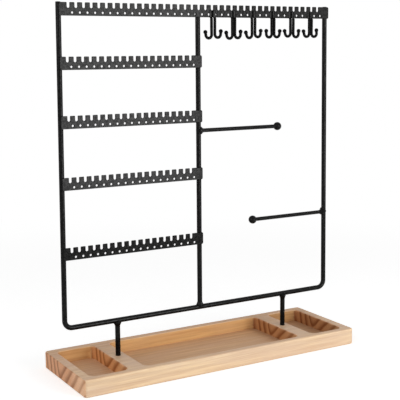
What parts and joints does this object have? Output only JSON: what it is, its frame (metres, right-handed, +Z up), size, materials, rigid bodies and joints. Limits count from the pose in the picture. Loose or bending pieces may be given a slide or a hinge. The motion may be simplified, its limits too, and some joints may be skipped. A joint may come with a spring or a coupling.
{
  "type": "jewelry stand",
  "caption": "Free-standing jewelry stand: a welded black wire frame with toothed earring bars, wire hooks and ball-ended arms on a pine tray base with routed pockets.",
  "frame": {"origin": "middle of the base board's underside", "axes": "+Z up, -Y to the front that carries the bars and hooks, +X to the side with the hooks"},
  "size_m": [0.309, 0.1, 0.3538],
  "materials": {
    "pine": "clear matt varnish",
    "black_powder_coat": "satin black powder coat",
    "zinc_steel": "zinc plated"
  },
  "bodies": {
    "root": {"base_tray": "pine", "outer_frame": "black_powder_coat", "centre_upright": "black_powder_coat", "top_earring_bar": "black_powder_coat", "earring_bar_1": "black_powder_coat", "earring_bar_2": "black_powder_coat", "earring_bar_3": "black_powder_coat", "earring_bar_4": "black_powder_coat", "hook_1_left": "black_powder_coat", "hook_1_right": "black_powder_coat", "hook_2_left": "black_powder_coat", "hook_2_right": "black_powder_coat", "hook_3_left": "black_powder_coat", "hook_3_right": "black_powder_coat", "hook_4_left": "black_powder_coat", "hook_4_right": "black_powder_coat", "hook_5_left": "black_powder_coat", "hook_5_right": "black_powder_coat", "hook_6_left": "black_powder_coat", "hook_6_right": "black_powder_coat", "upper_arm": "black_powder_coat", "upper_arm_ball": "black_powder_coat", "lower_arm": "black_powder_coat", "lower_arm_ball": "black_powder_coat", "left_post": "black_powder_coat", "right_post": "black_powder_coat", "base_screws": "zinc_steel", "base_washers": "zinc_steel"}
  },
  "joints": []
}
